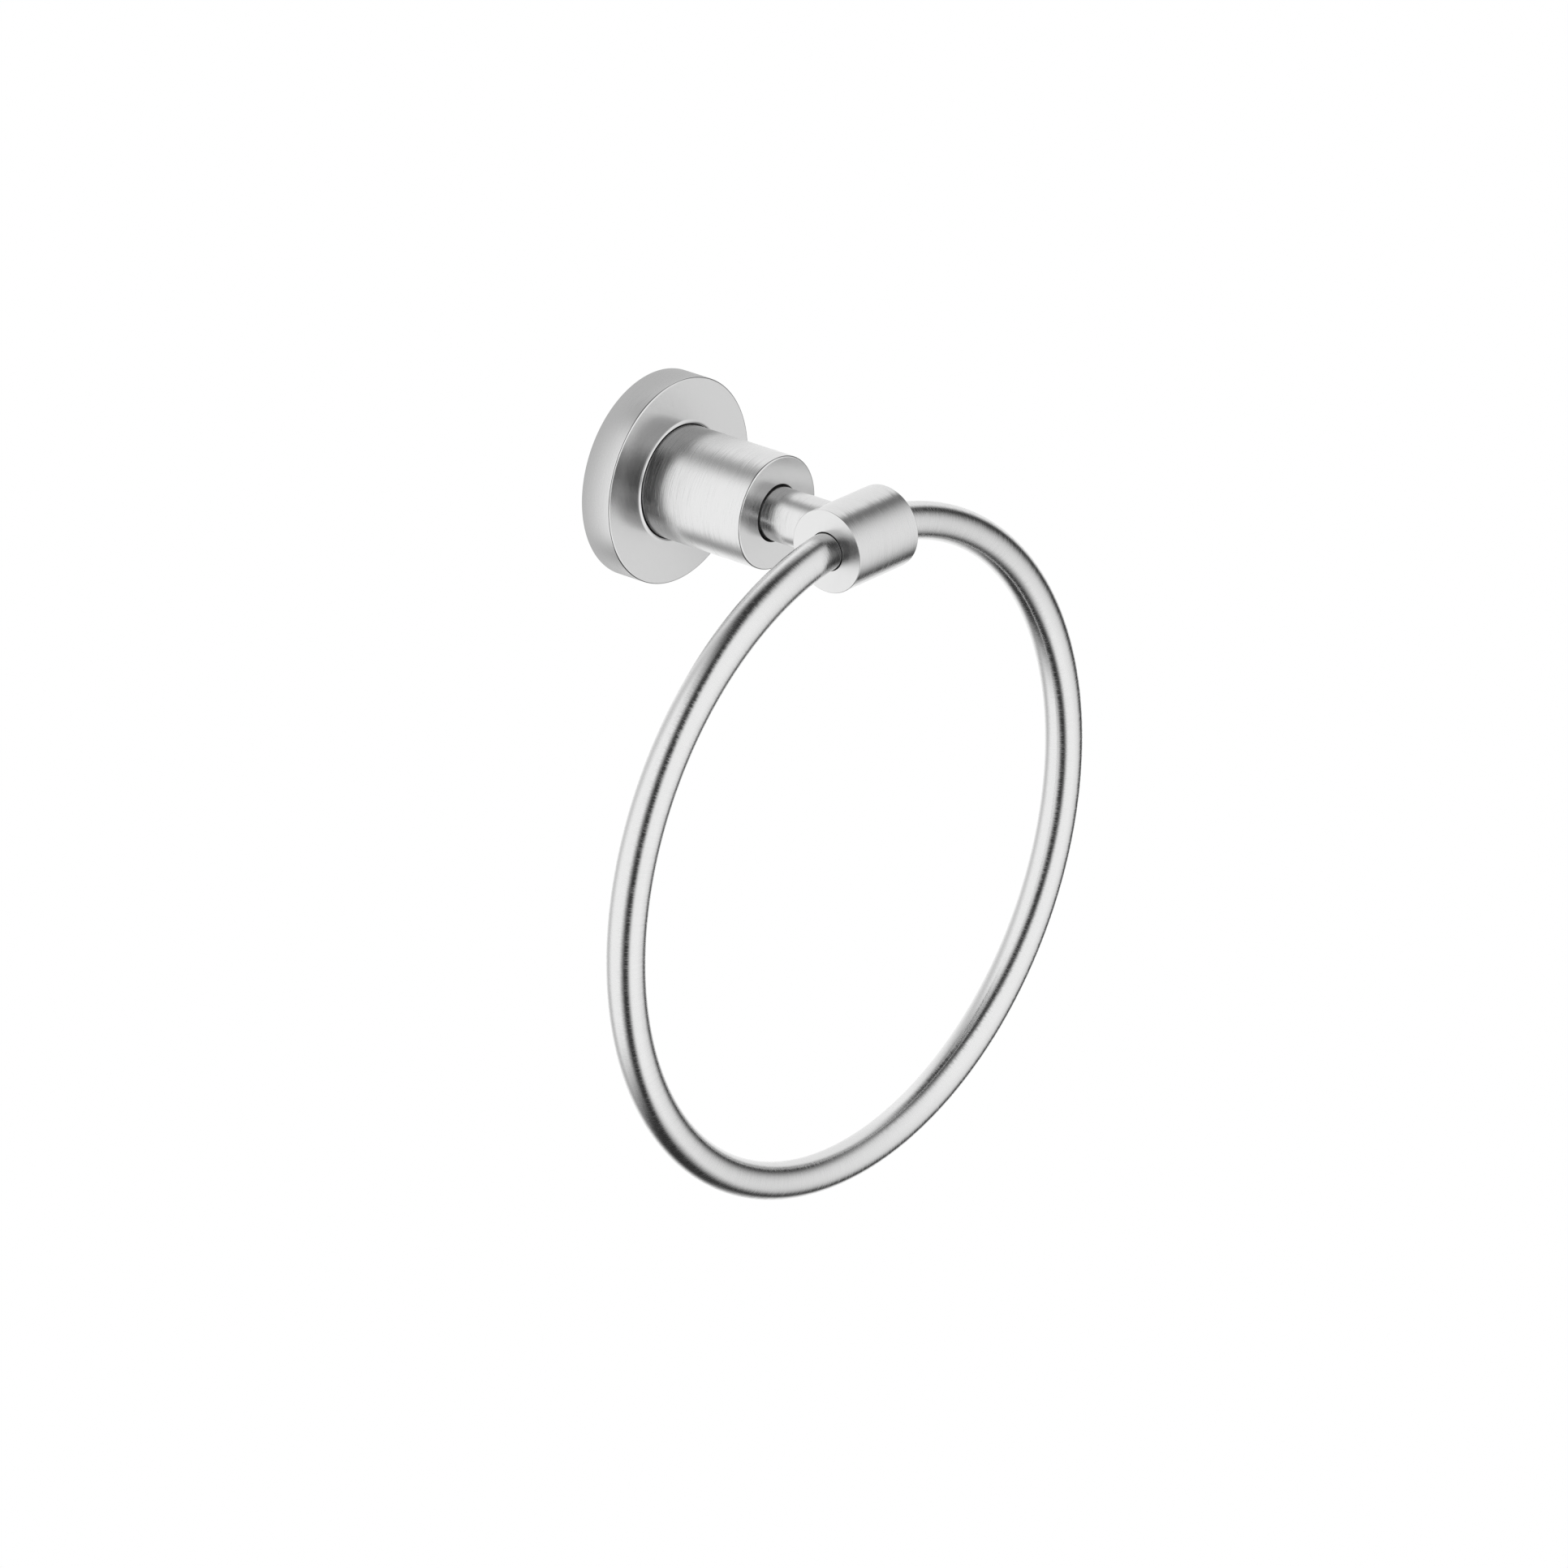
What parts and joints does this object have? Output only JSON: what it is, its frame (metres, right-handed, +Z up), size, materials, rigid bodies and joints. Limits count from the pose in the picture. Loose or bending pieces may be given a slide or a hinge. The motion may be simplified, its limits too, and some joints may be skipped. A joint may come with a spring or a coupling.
{
  "type": "towel ring",
  "caption": "Wall-mounted towel ring: a large round bar swings in a short barrel at the end of a stepped post with a round rosette, in brushed steel.",
  "frame": {"origin": "on the wall face, at the middle of the rosette and of the two wall screw holes", "axes": "+Z up, +Y into the wall, X along the wall and along the axis that the ring swings about"},
  "size_m": [0.2, 0.0848, 0.223],
  "materials": {
    "brushed_steel": "fine brushed stainless steel, brushed round the turned pieces",
    "plated_steel": "bright zinc plate on the hidden bracket and screws"
  },
  "bodies": {
    "post": {"wall_plate": "plated_steel", "rosette": "brushed_steel", "rosette_screw": "plated_steel", "sleeve": "brushed_steel", "stem": "brushed_steel", "post_screw": "plated_steel", "barrel": "brushed_steel"},
    "ring": {"ring": "brushed_steel"}
  },
  "joints": [
    {"name": "ring_swing", "type": "hinge", "parent": "post", "child": "ring", "pos_m": [0, -0.07293, 0], "axis": [-1, 0, 0], "range_deg": [-21, 201]}
  ]
}
